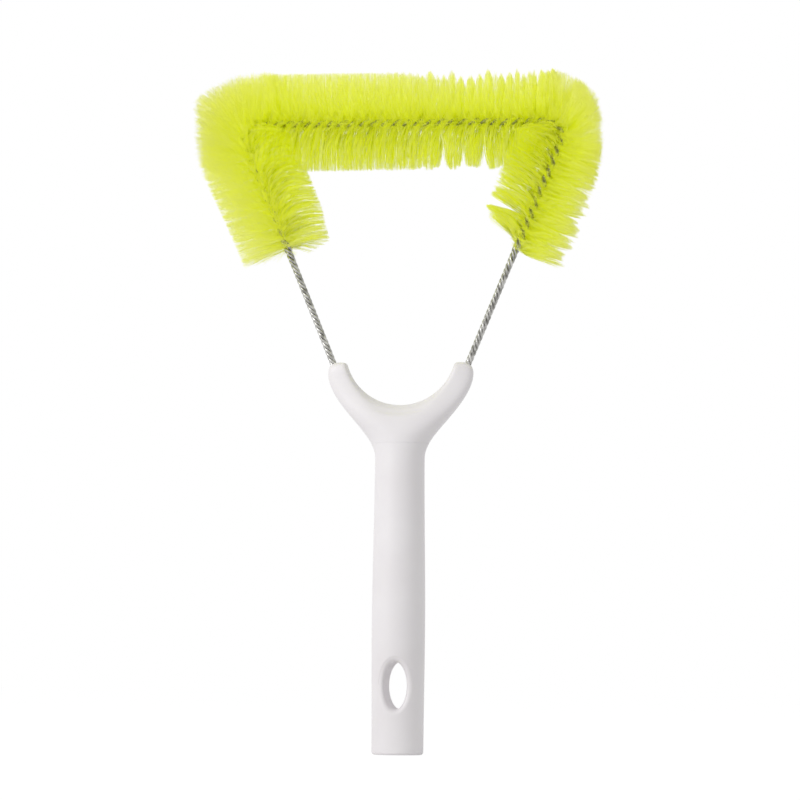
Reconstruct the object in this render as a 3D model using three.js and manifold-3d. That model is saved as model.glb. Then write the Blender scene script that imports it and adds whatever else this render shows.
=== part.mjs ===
// Window cleaning brush: a moulded grip and yoke that hold a bent loop of twisted wire, with nylon
// bristles caught between the wires along the loop's top and the upper part of both legs.
// Millimetres, +Z up. The origin is the middle of the grip's flat end, the loop lies in the XZ plane
// and the front of the brush faces -Y.
import * as THREE from 'three';
import Module from 'manifold-3d';
import { mergeVertices } from 'three/addons/utils/BufferGeometryUtils.js';

// Clearances between pieces
const seamGap = 0.2;
const spigotClearance = 0.25;
const socketClearance = 0.3;
const strandGap = 0.16;
const slotClearance = 0.2;
const coreEndGap = 0.3;

// Grip: a round barrel, hollow from its upper end, with a hang hole through its lower end
const gripLength = 145;
const gripEndRadius = 12.1;
const gripBellyRadius = 12.45;
const gripBellyHeight = 60;
const gripNeckRadius = 11.6;
const gripEdgeRadius = 1.3;
const gripBoreRadius = 8;
const gripBoreDepth = 90;
const holeHeight = 32;
const holeHalfWidth = 5.3;
const holeHalfLength = 11;
const holeRimRadius = 2.4;
const holeRimTurn = THREE.MathUtils.degToRad(72);

// Yoke: heights are above the grip's upper end, where the seam is
const yokeHeight = 38.3;
const yokeHalfSpan = 34.5;
const yokeTipRoundHeight = 4.8;
const yokeTipRoundWidth = 4;
const yokeTipHalfDepth = 5.2;
const yokeTipPower = 4;
const flankBelowSeam = 6.5;
const flankLowReach = 11.7;
const flankHighReach = 14.4;
const crotchHeight = 18.2;
const crotchRadius = 26.3;
const crotchRounding = 5;
const spigotLength = 30;
const spigotRoot = 1;
const socketDepth = 22;

// Wire loop: four strands twisted to the left, bent to a trapezoid
const wireRadius = 0.55;
const twistPitch = 10.4;
const loopFootHalfSpan = 32.2;
const loopTopHalfSpan = 79;
const loopTopHeight = 152;
const loopBendRadius = 8;

// Bristles: tufts of filaments held at their middle between the two pairs of wires
const bristleRadius = 22.7;
const bristledLegLength = 64;
const tuftRootRadius = 0.18;
const tuftTipRadius = 0.5;
const tuftRootInset = 0.05;
const tuftShortest = 5;
const tuftSideGap = 0.8;
const coreRadius = 0.3;
const coreOverrun = 0.6;

// Facets
const roundSides = 32;
const crotchSides = 44;
const socketSides = 12;
const barrelRings = 5;
const flankRings = 10;
const edgeRings = 3;
const stepsPerTurn = 6;
const tuftsPerTurn = 7;
const coreBendSteps = 5;

const wasm = await Module();
wasm.setup();

function toSolid(geometry) {
  const bare = geometry.clone();
  bare.deleteAttribute('normal');
  bare.deleteAttribute('uv');
  const merged = mergeVertices(bare, 1e-4);
  const vertProperties = new Float32Array(merged.attributes.position.array);
  const triVerts = new Uint32Array(merged.index.array);
  return new wasm.Manifold(new wasm.Mesh({ numProp: 3, vertProperties, triVerts }));
}

function toGeometry(solid) {
  const mesh = solid.getMesh();
  const geometry = new THREE.BufferGeometry();
  geometry.setAttribute('position', new THREE.BufferAttribute(new Float32Array(mesh.vertProperties), 3));
  geometry.setIndex(new THREE.BufferAttribute(new Uint32Array(mesh.triVerts), 1));
  geometry.computeVertexNormals();
  return geometry;
}

// A closed skin over rings of points. Each ring runs anticlockwise seen from the last ring's side.
function loft(rings) {
  const count = rings[0].length;
  const points = rings.flat();
  const triangles = [];
  for (let r = 0; r < rings.length - 1; r++) {
    for (let i = 0; i < count; i++) {
      const a = r * count + i;
      const b = r * count + ((i + 1) % count);
      triangles.push(a, b, b + count, a, b + count, a + count);
    }
  }
  const last = (rings.length - 1) * count;
  for (let i = 1; i < count - 1; i++) {
    triangles.push(0, i + 1, i);
    triangles.push(last, last + i, last + i + 1);
  }
  const geometry = new THREE.BufferGeometry().setFromPoints(points);
  geometry.setIndex(triangles);
  geometry.computeVertexNormals();
  return geometry;
}

function smooth(from, to, value) {
  return THREE.MathUtils.smoothstep(value, from, to);
}

// Handle outline: the barrel's radius along the grip, and the flank that spreads from it to a yoke tip
const neckHeight = gripLength - flankBelowSeam;
const tipTop = gripLength + yokeHeight;
const tipShoulder = tipTop - yokeTipRoundHeight;

function barrelRadius(z) {
  if (z < gripBellyHeight) {
    return THREE.MathUtils.lerp(gripEndRadius, gripBellyRadius, smooth(0, gripBellyHeight, z));
  }
  return THREE.MathUtils.lerp(gripBellyRadius, gripNeckRadius, smooth(gripBellyHeight, neckHeight, z));
}

const flank = new THREE.CubicBezierCurve(
  new THREE.Vector2(gripNeckRadius, neckHeight),
  new THREE.Vector2(gripNeckRadius, neckHeight + flankLowReach),
  new THREE.Vector2(yokeHalfSpan, tipShoulder - flankHighReach),
  new THREE.Vector2(yokeHalfSpan, tipShoulder),
);

function flankParameter(height) {
  let low = 0;
  let high = 1;
  for (let i = 0; i < 40; i++) {
    const middle = (low + high) / 2;
    if (flank.getPoint(middle).y < height) low = middle;
    else high = middle;
  }
  return low;
}

function halfDepth(z) {
  return THREE.MathUtils.lerp(gripNeckRadius, yokeTipHalfDepth, smooth(gripLength, tipShoulder, z));
}

function cornerPower(z) {
  return THREE.MathUtils.lerp(2, yokeTipPower, smooth(gripLength, gripLength + crotchHeight, z));
}

// A level ring of the handle: an ellipse whose corners fill out as its power grows
function handleRing(halfWidth, depth, z, power = 2) {
  const ring = [];
  for (let i = 0; i < roundSides; i++) {
    const angle = (2 * Math.PI * i) / roundSides;
    const c = Math.cos(angle);
    const s = Math.sin(angle);
    const x = halfWidth * Math.sign(c) * Math.abs(c) ** (2 / power);
    const y = depth * Math.sign(s) * Math.abs(s) ** (2 / power);
    ring.push(new THREE.Vector3(x, y, z));
  }
  return ring;
}

function flankRing(t, z) {
  return handleRing(flank.getPoint(t).x, halfDepth(z), z, cornerPower(z));
}

function gripRings() {
  const rings = [];
  for (let i = 0; i < edgeRings; i++) {
    const angle = (Math.PI / 2) * (i / edgeRings);
    const z = gripEdgeRadius * (1 - Math.cos(angle));
    const radius = barrelRadius(z) - gripEdgeRadius * (1 - Math.sin(angle));
    rings.push(handleRing(radius, radius, z));
  }
  for (let i = 0; i < barrelRings; i++) {
    const z = THREE.MathUtils.lerp(gripEdgeRadius, neckHeight, i / barrelRings);
    rings.push(handleRing(barrelRadius(z), barrelRadius(z), z));
  }
  const seam = flankParameter(gripLength);
  for (let i = 0; i <= edgeRings; i++) {
    const t = (seam * i) / edgeRings;
    rings.push(flankRing(t, flank.getPoint(t).y));
  }
  return rings;
}

// The hang hole's tunnel with a rounded rim that follows the barrel, front and back
function holeCutter() {
  const outside = 2 * gripBellyRadius;
  const mouth = (side) => {
    const steps = [];
    for (let i = 0; i <= edgeRings; i++) steps.push((holeRimTurn * i) / edgeRings);
    const made = steps.map((angle) => holeRing((x) => {
      const depth = holeRimRadius * (1 - Math.sin(angle));
      return side * (Math.sqrt(gripBellyRadius ** 2 - x ** 2) - depth);
    }, holeRimRadius * (1 - Math.cos(angle))));
    made.push(holeRing(() => side * outside, holeRimRadius * (1 - Math.cos(holeRimTurn))));
    return made;
  };
  return loft([...mouth(1).reverse(), ...mouth(-1)]);
}

function holeRing(yAt, spread) {
  const ring = [];
  for (let i = 0; i < roundSides; i++) {
    const angle = (2 * Math.PI * i) / roundSides;
    const x = (holeHalfWidth + spread) * Math.cos(angle);
    const z = holeHeight + (holeHalfLength + spread) * Math.sin(angle);
    ring.push(new THREE.Vector3(x, yAt(x), z));
  }
  return ring;
}

function uprightCylinder(radius, fromZ, toZ) {
  const cylinder = new THREE.CylinderGeometry(radius, radius, toZ - fromZ, roundSides);
  cylinder.rotateX(Math.PI / 2);
  cylinder.translate(0, 0, (fromZ + toZ) / 2);
  return cylinder;
}

function makeGrip() {
  const barrel = toSolid(loft(gripRings()));
  const bore = uprightCylinder(gripBoreRadius, gripLength - gripBoreDepth, gripLength + yokeHeight);
  return toGeometry(barrel.subtract(toSolid(bore)).subtract(toSolid(holeCutter())));
}

// Loop path: from the left socket's floor up the left leg, across the top and down to the right socket
const loopFoot = new THREE.Vector2(loopFootHalfSpan, tipTop);
const loopCorner = new THREE.Vector2(loopTopHalfSpan, gripLength + loopTopHeight);
const legRise = loopCorner.clone().sub(loopFoot);
const legLean = Math.atan2(legRise.x, legRise.y);
const legDirection = legRise.clone().normalize();
const insideHalfAngle = (Math.PI / 2 - legLean) / 2;
const bendCentre = new THREE.Vector2(
  loopCorner.x - loopBendRadius / Math.tan(insideHalfAngle),
  loopCorner.y - loopBendRadius,
);
const wireEnd = loopFoot.clone().addScaledVector(legDirection, socketClearance - socketDepth);

const loop = new THREE.Path();
loop.moveTo(-wireEnd.x, wireEnd.y);
loop.lineTo(
  -bendCentre.x - loopBendRadius * legDirection.y,
  bendCentre.y - loopBendRadius * legDirection.x,
);
loop.absarc(-bendCentre.x, bendCentre.y, loopBendRadius, Math.PI + legLean, Math.PI / 2, true);
loop.absarc(bendCentre.x, bendCentre.y, loopBendRadius, Math.PI / 2, -legLean, true);
loop.lineTo(wireEnd.x, wireEnd.y);
const [legStraight, topStart, topEnd] = loop.getCurveLengths();
const loopLength = loop.getLength();
const leftMitre = (legStraight + topStart) / 2;
const rightMitre = loopLength - leftMitre;
const cornerTangentLength = loopBendRadius / Math.tan(insideHalfAngle);
const bristleStart = legStraight + cornerTangentLength - bristledLegLength;
const bristleEnd = loopLength - bristleStart;

// The place on the loop, its direction, the way to the loop's inside and the twisted filament layer
function loopFrame(distance) {
  const u = THREE.MathUtils.clamp(distance / loopLength, 0, 1);
  const point = loop.getPoint(u);
  const direction = loop.getTangent(u);
  const along = new THREE.Vector3(direction.x, 0, direction.y);
  const inward = new THREE.Vector3(direction.y, 0, -direction.x);
  const back = new THREE.Vector3(0, 1, 0);
  const turn = (-2 * Math.PI * distance) / twistPitch;
  const layer = inward.clone().multiplyScalar(Math.cos(turn)).addScaledVector(back, Math.sin(turn));
  const across = along.clone().cross(layer);
  return { point: new THREE.Vector3(point.x, 0, point.y), along, inward, layer, across };
}

// Wires touch side by side on the bare stems, and the two pairs spread where filaments lie between them
const chordShare = Math.cos(Math.PI / stepsPerTurn);
const wireOffset = (wireRadius + strandGap / 2) / chordShare;
const spreadOffset = (wireRadius + tuftRootRadius + slotClearance) / chordShare;
const stemRadius = wireOffset * Math.SQRT2 + wireRadius;

function pairOffset(distance) {
  const rise = smooth(bristleStart - twistPitch, bristleStart - coreOverrun, distance);
  const fall = smooth(bristleEnd + coreOverrun, bristleEnd + twistPitch, distance);
  return THREE.MathUtils.lerp(wireOffset, spreadOffset, rise * (1 - fall));
}

function makeStrand(layerSide, acrossSide) {
  const rings = [];
  const steps = Math.round((loopLength / twistPitch) * stepsPerTurn);
  for (let i = 0; i <= steps; i++) {
    const distance = (loopLength * i) / steps;
    const { point, layer, across } = loopFrame(distance);
    const centre = point.clone()
      .addScaledVector(layer, layerSide * wireOffset)
      .addScaledVector(across, acrossSide * pairOffset(distance));
    const ring = [layer, across, layer.clone().negate(), across.clone().negate()];
    rings.push(ring.map((way) => centre.clone().addScaledVector(way, wireRadius)));
  }
  return loft(rings);
}

// How far a tuft may reach before it meets the bristles from the other side of a bend
function tuftReach(start, way, inward) {
  let reach = bristleRadius;
  if (way.dot(inward) <= 0) return reach;
  for (const distance of [leftMitre, rightMitre]) {
    const mitre = loopFrame(distance);
    const side = start.clone().sub(mitre.point).dot(mitre.along);
    const approach = way.dot(mitre.along) * -Math.sign(side);
    if (approach > 1e-6) reach = Math.min(reach, (Math.abs(side) - tuftSideGap) / approach);
    else if (Math.abs(side) < tuftSideGap) reach = 0;
  }
  return reach;
}

function makeTuft(start, way, along, reach) {
  const aside = way.clone().cross(along);
  const tipRadius = THREE.MathUtils.lerp(tuftRootRadius, tuftTipRadius, reach / bristleRadius);
  const ring = (distance, radius) => [0, 1, 2].map((i) => {
    const angle = (2 * Math.PI * i) / 3;
    return start.clone()
      .addScaledVector(way, distance)
      .addScaledVector(along, radius * Math.cos(angle))
      .addScaledVector(aside, radius * Math.sin(angle));
  });
  return loft([ring(tuftRootInset, tuftRootRadius), ring(reach, tipRadius)]);
}

// The filaments' middles, a thin core along the loop's own line between the wires
function makeCore(from, to) {
  const stops = [from, to];
  for (const [start, end] of [[legStraight, topStart], [topEnd, loopLength - legStraight]]) {
    for (let i = 0; i <= 2 * coreBendSteps; i++) {
      stops.push(THREE.MathUtils.lerp(start, end, i / (2 * coreBendSteps)));
    }
  }
  const inside = stops.filter((stop) => stop >= from && stop <= to).sort((a, b) => a - b);
  const back = new THREE.Vector3(0, coreRadius, 0);
  return loft(inside.map((stop) => {
    const { point, inward } = loopFrame(stop);
    const side = inward.clone().multiplyScalar(coreRadius);
    return [side, back, side.clone().negate(), back.clone().negate()].map((way) => point.clone().add(way));
  }));
}

function makeBristles(from, to) {
  let solid = toSolid(makeCore(from, to));
  const spacing = twistPitch / tuftsPerTurn;
  const first = Math.ceil((from + coreOverrun) / spacing) * spacing;
  for (let stop = first; stop < to - coreOverrun; stop += spacing) {
    const { point, along, inward, layer } = loopFrame(stop);
    for (const way of [layer, layer.clone().negate()]) {
      const reach = tuftReach(point, way, inward);
      if (reach > tuftShortest) solid = solid.add(toSolid(makeTuft(point, way, along, reach)));
    }
  }
  return toGeometry(solid);
}

// Yoke: a lofted blank from the seam to the rounded tips, hollowed between its arms
function yokeRings() {
  const base = gripLength + seamGap;
  const start = flankParameter(base);
  const rings = [];
  for (let i = 0; i < flankRings; i++) {
    const t = THREE.MathUtils.lerp(start, 1, i / flankRings);
    rings.push(flankRing(t, i === 0 ? base : flank.getPoint(t).y));
  }
  for (let i = 0; i <= edgeRings; i++) {
    const angle = (Math.PI / 2) * (i / edgeRings);
    const z = tipShoulder + yokeTipRoundHeight * Math.sin(angle);
    const width = yokeHalfSpan - yokeTipRoundWidth * (1 - Math.cos(angle));
    const depth = yokeTipHalfDepth - (yokeTipRoundWidth / 2) * (1 - Math.cos(angle));
    rings.push(handleRing(width, depth, z, yokeTipPower));
  }
  return rings;
}

// The round gap between the arms, waisted so that the arms' inner sides come out rounded
function crotchCutter() {
  const centreHeight = gripLength + crotchHeight + crotchRadius;
  const waist = halfDepth(gripLength + crotchHeight);
  const outside = 2 * gripBellyRadius;
  const wide = crotchRadius + crotchRounding;
  const profile = [new THREE.Vector2(0, -outside), new THREE.Vector2(wide, -outside)];
  for (let i = -edgeRings; i <= edgeRings; i++) {
    const angle = (Math.PI / 2) * (i / edgeRings);
    const radius = crotchRadius + crotchRounding * (1 - Math.cos(angle));
    profile.push(new THREE.Vector2(radius, waist * Math.sin(angle)));
  }
  profile.push(new THREE.Vector2(wide, outside), new THREE.Vector2(0, outside));
  const cutter = new THREE.LatheGeometry(profile, crotchSides);
  cutter.translate(0, 0, centreHeight);
  return cutter;
}

function socketCutter(side) {
  const radius = stemRadius + socketClearance;
  const length = 2 * socketDepth;
  const cutter = new THREE.CylinderGeometry(radius, radius, length, socketSides);
  cutter.rotateX(Math.PI / 2);
  cutter.rotateY(side * legLean);
  cutter.translate(side * loopFoot.x, 0, loopFoot.y);
  return cutter;
}

function makeYoke() {
  let solid = toSolid(loft(yokeRings())).subtract(toSolid(crotchCutter()));
  const spigotRadius = gripBoreRadius - spigotClearance;
  const spigot = uprightCylinder(spigotRadius, gripLength - spigotLength, gripLength + seamGap + spigotRoot);
  solid = solid.add(toSolid(spigot));
  for (const side of [-1, 1]) solid = solid.subtract(toSolid(socketCutter(side)));
  return toGeometry(solid);
}

const whitePolypropylene = new THREE.MeshStandardMaterial({ color: 0xe9e6e7, roughness: 0.45, metalness: 0 });
const galvanisedWire = new THREE.MeshStandardMaterial({ color: 0xa9abad, roughness: 0.35, metalness: 1 });
const limeNylon = new THREE.MeshStandardMaterial({ color: 0xd6e23a, roughness: 0.5, metalness: 0 });

const brush = new THREE.Group();

function place(name, geometry, material) {
  const mesh = new THREE.Mesh(geometry, material);
  mesh.name = name;
  brush.add(mesh);
}

place('grip', makeGrip(), whitePolypropylene);
place('yoke', makeYoke(), whitePolypropylene);
const pairSides = [[1, 1], [1, -1], [-1, -1], [-1, 1]];
pairSides.forEach(([layerSide, acrossSide], i) => {
  place(`wire_strand_${i + 1}`, makeStrand(layerSide, acrossSide), galvanisedWire);
});
place('left_leg_bristles', makeBristles(bristleStart, leftMitre - coreEndGap / 2), limeNylon);
place('top_bar_bristles', makeBristles(leftMitre + coreEndGap / 2, rightMitre - coreEndGap / 2), limeNylon);
place('right_leg_bristles', makeBristles(rightMitre + coreEndGap / 2, bristleEnd), limeNylon);

export default brush;
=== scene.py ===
# Looks of a window cleaning brush: a white moulded grip and yoke, a loop of twisted galvanised wire and
# lime green nylon bristles. Metres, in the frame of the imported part: the grip's end stands at the origin,
# +Z runs up the handle and the front faces -Y.
import math
from types import SimpleNamespace

import bmesh
import bpy
import numpy as np
from mathutils import Matrix, Vector


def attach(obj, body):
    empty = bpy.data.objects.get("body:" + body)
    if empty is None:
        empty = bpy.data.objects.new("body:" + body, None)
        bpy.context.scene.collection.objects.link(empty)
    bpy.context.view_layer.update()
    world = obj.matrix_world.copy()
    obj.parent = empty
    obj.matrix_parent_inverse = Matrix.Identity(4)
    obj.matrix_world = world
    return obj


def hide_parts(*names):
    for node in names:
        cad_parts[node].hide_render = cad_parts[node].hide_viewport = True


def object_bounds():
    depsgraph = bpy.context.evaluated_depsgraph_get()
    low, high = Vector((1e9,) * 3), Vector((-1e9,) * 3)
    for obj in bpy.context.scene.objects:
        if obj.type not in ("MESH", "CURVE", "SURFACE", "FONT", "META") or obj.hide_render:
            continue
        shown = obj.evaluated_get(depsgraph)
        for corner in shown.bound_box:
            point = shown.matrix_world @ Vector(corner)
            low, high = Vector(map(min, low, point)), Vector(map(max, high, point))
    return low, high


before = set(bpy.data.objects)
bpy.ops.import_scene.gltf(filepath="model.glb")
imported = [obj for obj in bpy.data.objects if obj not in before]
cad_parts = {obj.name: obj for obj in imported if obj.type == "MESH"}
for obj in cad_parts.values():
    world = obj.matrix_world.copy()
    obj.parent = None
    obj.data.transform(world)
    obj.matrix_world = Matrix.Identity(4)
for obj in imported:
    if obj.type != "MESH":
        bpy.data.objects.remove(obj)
cad_low, cad_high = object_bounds()

MM = 0.001
BACK = np.array([0.0, 1.0, 0.0])
WELD_DISTANCE = 0.001 * MM

# Grip sizes
GRIP_LENGTH = 145 * MM
GRIP_END_RADIUS = 12.1 * MM
GRIP_BELLY_RADIUS = 12.45 * MM
GRIP_BELLY_HEIGHT = 60 * MM
GRIP_NECK_RADIUS = 11.6 * MM
GRIP_EDGE_RADIUS = 1.3 * MM
GRIP_BORE_RADIUS = 8 * MM
GRIP_BORE_DEPTH = 90 * MM
HOLE_HEIGHT = 32 * MM
HOLE_HALF_WIDTH = 5.3 * MM
HOLE_HALF_LENGTH = 11 * MM
HOLE_RIM_RADIUS = 3.2 * MM
HOLE_RIM_TURN = math.radians(80)
SEAM_GAP = 0.03 * MM

# Yoke sizes
YOKE_HEIGHT = 38.3 * MM
YOKE_HALF_SPAN = 34.5 * MM
YOKE_TIP_ROUND_HEIGHT = 4.8 * MM
YOKE_TIP_ROUND_WIDTH = 4 * MM
YOKE_TIP_HALF_DEPTH = 5.2 * MM
ROUND_POWER = 2
YOKE_TIP_POWER = 4
FLANK_BELOW_SEAM = 6.5 * MM
FLANK_LOW_REACH = 11.7 * MM
FLANK_HIGH_REACH = 14.4 * MM
CROTCH_HEIGHT = 18.2 * MM
CROTCH_RADIUS = 26.3 * MM
CROTCH_ROUNDING = 5 * MM
SPIGOT_LENGTH = 30 * MM
SPIGOT_OVERLAP = 2 * MM
SPIGOT_CLEARANCE = 0.25 * MM
SOCKET_DEPTH = 22 * MM
SOCKET_CLEARANCE = 0.3 * MM

# How finely the handle and the wires are divided
GRIP_SIDES = 128
GRIP_ROWS = 72
GRIP_EDGE_STEPS = 6
GRIP_CREASE = math.radians(35)
HOLE_SIDES = 96
HOLE_RIM_STEPS = 10
YOKE_SIDES = 128
YOKE_ROWS = 60
FLANK_HALVINGS = 40
YOKE_TIP_STEPS = 12
YOKE_VOXEL = 0.5 * MM
YOKE_RELAX_SHARE = 0.5
YOKE_RELAX_ROUNDS = 40
YOKE_CREASE = math.radians(40)
CROTCH_SIDES = 160
CROTCH_STEPS = 12
SPIGOT_SIDES = 64
SOCKET_SIDES = 48
WIRE_SIDES = 12
WIRE_STEPS_PER_TURN = 22
WIRE_CREASE = math.radians(60)

# Wire sizes
WIRE_RADIUS = 0.66 * MM
TWIST_PITCH = 10.4 * MM
SLOT_HALF_WIDTH = 0.28 * MM
LOOP_FOOT_HALF_SPAN = 32.2 * MM
LOOP_TOP_HALF_SPAN = 79 * MM
LOOP_TOP_HEIGHT = 152 * MM
LOOP_BEND_RADIUS = 8 * MM

# Filaments: their sizes, how many there are and which way they point
BRISTLE_RADIUS = 22.7 * MM
BRISTLED_LEG_LENGTH = 64 * MM
ROOT_RADIUS = 0.5 * MM
FILAMENT_RADIUS = 0.042 * MM
FILAMENT_TIP_SHARE = 0.85
FILAMENT_STOPS = 5
FILAMENT_SIDES = 3
FILAMENTS_PER_METRE = 200 / MM
LEFT_BEND_CROWDING = 2.4
RIGHT_BEND_CROWDING = 2.2
CROWDED_LEG = 3 * MM
CROWDED_TOP = 4 * MM
CROWDING_FADE = 3 * MM
GOLDEN_TURN = (math.sqrt(5) - 1) / 2
TURN_JITTER = 0.02
FAN_SHARE = 0.55
FAN_NARROWING = 0.35
FLATTENING = 0.2
LEFT_FLATTENING = 0.14
RIGHT_CORNER_FLATTENING = 0.34
ROW_BLUR = 0.1
ROW_JITTER = 0.25
STRAIGHT_FROM = 0.45

# Where the stretches of the brush fade into each other, as lengths along the loop
LEFT_FADE = 16 * MM
RIGHT_FADE = 25 * MM
CORNER_RISE = 16 * MM
CORNER_FALL_BEFORE = 6 * MM
CORNER_FALL_AFTER = 8 * MM
LEFT_END_LENGTH = 14 * MM
RIGHT_LEG_SOUND_LENGTH = 15 * MM
RIGHT_END_LENGTH = 9 * MM

# Where a filament counts as pointing to a side, as ranges of the sine or cosine of its angle
SIDE_RANGE = (-0.1, 0.5)
UPRIGHT_RANGE = (0.5, 0.95)
FRONT_RANGE = (0.2, 1.0)
IN_PLANE_RANGE = (0.4, 0.95)

# Strands of filaments that cling together
STRAND_SEED = 7
STRAND_WIDTH = 1.0 * MM
STRAND_TURN = 0.2
STRAND_PLACES = 600
STRAND_TURNS = 32
CLING = 0.82
LEFT_CLING = 0.66
STRAND_SWING = 0.1
STRAND_JITTER = 0.5
STRAND_SPLAY = 4.5 * MM
FILAMENT_SPLAY = 0.5 * MM
LOOSE_STRAND_SPLAY = 1.2 * MM
LOOSE_FILAMENT_SPLAY = 2.6 * MM

# How far filaments lie, gather, lean and sweep along the loop
LAY = 3.2 * MM
LAY_VARIATION = 0.12
LAID_FROM = 0.35
LEFT_ARCH = 3 * MM
ROW_SEED = 3
ROW_PLACES = 400
GATHER = 0.05
LEFT_INNER_GATHER = 0.09
RIGHT_INNER_GATHER = 0.22
ROW_GATHER_LEAST = 0.3
ROW_GATHER_RANGE = 1.4
FILAMENT_GATHER_MOST = 1.7
LEFT_ROW_LEAN = 0.5 * MM
RIGHT_ROW_LEAN = 1.3 * MM
STRAND_LEAN = 1.3 * MM
TOP_LEFT_STRAND_LEAN = 0.4 * MM
TOP_RIGHT_STRAND_LEAN = 0.8 * MM
FILAMENT_LEAN = 0.3 * MM
TOP_FILAMENT_LEAN = 0.6 * MM
LEAN_POWER = 1.3
FRONT_SWEEP = 6 * MM
OUTER_SWEEP = 3 * MM
LEFT_END_DROOP = 3 * MM
RIGHT_LEG_LIFT = 3 * MM
RIGHT_END_INNER_LIFT = 1 * MM
RIGHT_END_OUTER_LIFT = 3 * MM
BAR_CLEARANCE = 5 * MM
LEAST_STEEPNESS = 0.4

# Spikes and partings of the tips
SPIKE_SEED = 5
SPIKE_COUNT = 300
SPIKE_NARROWEST = 1.6 * MM
SPIKE_WIDEST = 4.8 * MM
SPIKE_CLOSING = 0.4
CORNER_SPIKE_LOSS = 0.6
LEG_SPIKE_SHARE = 0.8
INNER_SHARPNESS = 2.6
OUTER_SHARPNESS = 4.0
PARTING_REACH = 3.5 * MM
PARTING_SHARE = 0.65

# Lengths of the filaments, as shares of the bristle radius, and the trim that they are cut to
SPIKE_RAGGEDNESS = 0.13
SPIKE_RAGGED_POWER = 1.5
SPIKE_SLOPE = 0.11
INNER_RAGGEDNESS = 0.07
LEFT_WEAR = 0.02
RIGHT_WEAR = 0.03
RIGHT_END_WEAR = 0.1
LEFT_CORNER_FULLNESS = 0.32
LEFT_LEG_FULLNESS = 0.09
RIGHT_LEG_FULLNESS = 0.12
RIGHT_LEG_FILLING = 20 * MM
TOP_LEFT_FULLNESS = 0.055
TOP_RIGHT_FULLNESS = 0.11
LEFT_END_SHORTENING = 0.09
RIGHT_LEG_SHORTENING = 0.08
RIGHT_END_SHORTENING = 0.14
SHORTEST_TRIM = 0.5
TRIM_FRAY = 0.5 * MM
TRIM_REACH = 24.7 * MM
LEAST_SLANT = 0.05

# Tones of the filaments, from 0, deep and dull, to 1, pale: they differ at random, and carry painted shade
# and painted light on the sides, painted shade and highlights at the roots and painted light at the tips
MIDDLE_TONE = 0.5
# Painted shade on the inner side and the lower right, painted light on the outer sides of the corners and
# left leg
INNER_PAINTED_SHADE = 0.03
CORNER_PAINTED_LIGHT = 0.18
LEFT_LEG_PAINTED_LIGHT = 0.1
RIGHT_PAINTED_SHADE = 0.16
PAINTED_SHADE_LEG_START = 40 * MM
PAINTED_SHADE_LEG_FULL = 15 * MM
PAINTED_SHADE_TOP_FULL = 5 * MM
PAINTED_SHADE_TOP_END = 20 * MM
ROW_CONTRAST = 0.14
STRAND_CONTRAST = 0.4
INNER_CONTRAST = 0.75
TOP_CONTRAST = 0.12
RIGHT_CORNER_CONTRAST = 0.25
FILAMENT_CONTRAST = 0.04
LEAST_TONE = 0.05
# Painted shade and painted highlights at the roots of some strands near the core
PAINTED_SHADE_ROOTS_FROM = 0.84
RIGHT_CORNER_PAINTED_SHADE_ROOTS = 0.25
PAINTED_HIGHLIGHT_ROOTS_TO = 0.3
PAINTED_ROOT_REACH = 0.7
# How far the tips pale: painted light shining through them, less on the shaded inner side
INNER_PAINTED_TIP_LIGHT = 0.3
LEG_PAINTED_TIP_LIGHT = 0.9
TOP_PAINTED_TIP_LIGHT = 0.7

# Camera, from the scale and the slight turn of the photo
PHOTO_SIZE = 800
MM_PER_PIXEL = 0.4693
CAMERA_DISTANCE = 1600 * MM
CAMERA_AZIMUTH = math.radians(8)
CAMERA_ELEVATION = math.radians(-4.5)
CAMERA_ROLL = math.radians(0.5)
CAMERA_NEAR = 50 * MM
VIEW_CENTRE = Vector((-0.2 * MM, 0, 165.6 * MM))

# Light and floor
SOFTBOX_PLACE = Vector((-900 * MM, -900 * MM, 750 * MM))
SOFTBOX_TARGET = Vector((0, 0, 170 * MM))
SOFTBOX_SIZE = 700 * MM
SOFTBOX_POWER = 8
SKY_STRENGTH = 0.66
LIGHT_BOUNCES = 24
FLOOR_HALF_SIZE = 4000 * MM
FLOOR_GAP = 0.2 * MM
FLOOR_WHITE_STRENGTH = 1.07
FLOOR_WHITE_SHARE = 0.85

# Loop path, from the left socket's floor round to the right one
TIP_TOP = GRIP_LENGTH + YOKE_HEIGHT
TIP_SHOULDER = TIP_TOP - YOKE_TIP_ROUND_HEIGHT
NECK_HEIGHT = GRIP_LENGTH - FLANK_BELOW_SEAM
CORNER_HEIGHT = GRIP_LENGTH + LOOP_TOP_HEIGHT
LEG_SPREAD = LOOP_TOP_HALF_SPAN - LOOP_FOOT_HALF_SPAN
LEG_RISE = CORNER_HEIGHT - TIP_TOP
LEG_LEAN = math.atan2(LEG_SPREAD, LEG_RISE)
BEND_TURN = math.pi / 2 + LEG_LEAN
BEND_TANGENT = LOOP_BEND_RADIUS * math.tan(BEND_TURN / 2)
WIRE_IN_SOCKET = SOCKET_DEPTH - SOCKET_CLEARANCE
LEG_STRAIGHT = math.hypot(LEG_SPREAD, LEG_RISE) + WIRE_IN_SOCKET - BEND_TANGENT
BEND_LENGTH = LOOP_BEND_RADIUS * BEND_TURN
TOP_START = LEG_STRAIGHT + BEND_LENGTH
LOOP_LENGTH = 2 * (TOP_START + LOOP_TOP_HALF_SPAN - BEND_TANGENT)

# The bristled stretch of the loop runs from the left leg, over the top, to the right leg
BRISTLE_START = LEG_STRAIGHT + BEND_TANGENT - BRISTLED_LEG_LENGTH
BRISTLE_END = LOOP_LENGTH - BRISTLE_START
MIDDLE = LOOP_LENGTH / 2
LEFT_MITRE = LEG_STRAIGHT + BEND_LENGTH / 2
RIGHT_MITRE = LOOP_LENGTH - LEFT_MITRE

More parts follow.
